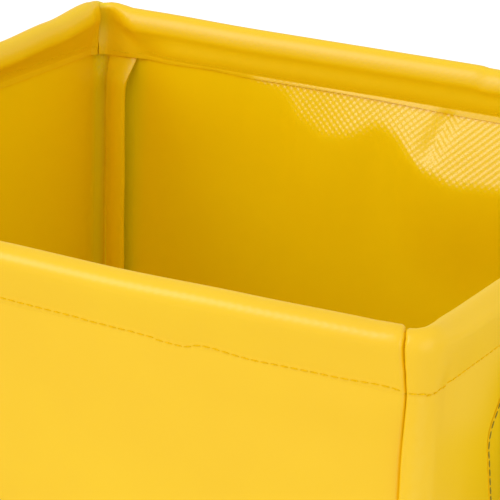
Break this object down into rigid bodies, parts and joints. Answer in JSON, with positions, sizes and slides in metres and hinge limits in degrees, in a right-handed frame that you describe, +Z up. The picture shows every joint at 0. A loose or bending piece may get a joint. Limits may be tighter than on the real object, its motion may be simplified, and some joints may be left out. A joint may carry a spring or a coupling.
{
  "type": "collapsible camp bucket",
  "caption": "Square open-topped bucket of coated cloth with a rod in each rim hem, folding walls and a swinging webbing handle on each side.",
  "frame": {"origin": "middle of the footprint, on the underside of the bottom panel", "axes": "+Z up through the open top, +X towards the right side, one of the two sides that carry a handle, +Y towards the back"},
  "size_m": [0.3582, 0.2882, 0.28],
  "materials": {
    "vinyl": "satin coated cloth, with a faint weave",
    "rods": "plain",
    "webbing": "woven",
    "grips": "matte"
  },
  "bodies": {
    "base": {"bottom_panel": "vinyl", "front_wall": "vinyl", "back_wall": "vinyl", "right_wall": "vinyl", "left_wall": "vinyl", "front_right_seam_flap": "vinyl", "front_left_seam_flap": "vinyl", "back_right_seam_flap": "vinyl", "back_left_seam_flap": "vinyl", "front_floor_flap": "vinyl", "back_floor_flap": "vinyl", "right_floor_flap": "vinyl", "left_floor_flap": "vinyl"},
    "rim": {"front_hem": "vinyl", "back_hem": "vinyl", "right_hem": "vinyl", "left_hem": "vinyl", "front_rod": "rods", "back_rod": "rods", "right_rod": "rods", "left_rod": "rods", "right_front_handle_patch": "vinyl", "right_rear_handle_patch": "vinyl", "left_front_handle_patch": "vinyl", "left_rear_handle_patch": "vinyl", "right_front_strap_end": "webbing", "right_rear_strap_end": "webbing", "left_front_strap_end": "webbing", "left_rear_strap_end": "webbing"},
    "right_handle": {"right_handle_strap": "webbing", "right_grip": "grips"},
    "left_handle": {"left_handle_strap": "webbing", "left_grip": "grips"}
  },
  "joints": [
    {"name": "collapse", "type": "slide", "parent": "base", "child": "rim", "axis": [0, 0, -1], "range_m": [0, 0.175], "deforming": ["front_wall", "back_wall", "right_wall", "left_wall", "front_right_seam_flap", "front_left_seam_flap", "back_right_seam_flap", "back_left_seam_flap"]},
    {"name": "right_handle_swing", "type": "hinge", "parent": "rim", "child": "right_handle", "pos_m": [0.1441, 0, 0.253], "axis": [0, -1, 0], "range_deg": [0, 158]},
    {"name": "left_handle_swing", "type": "hinge", "parent": "rim", "child": "left_handle", "pos_m": [-0.1441, 0, 0.253], "axis": [0, 1, 0], "range_deg": [0, 158]}
  ]
}
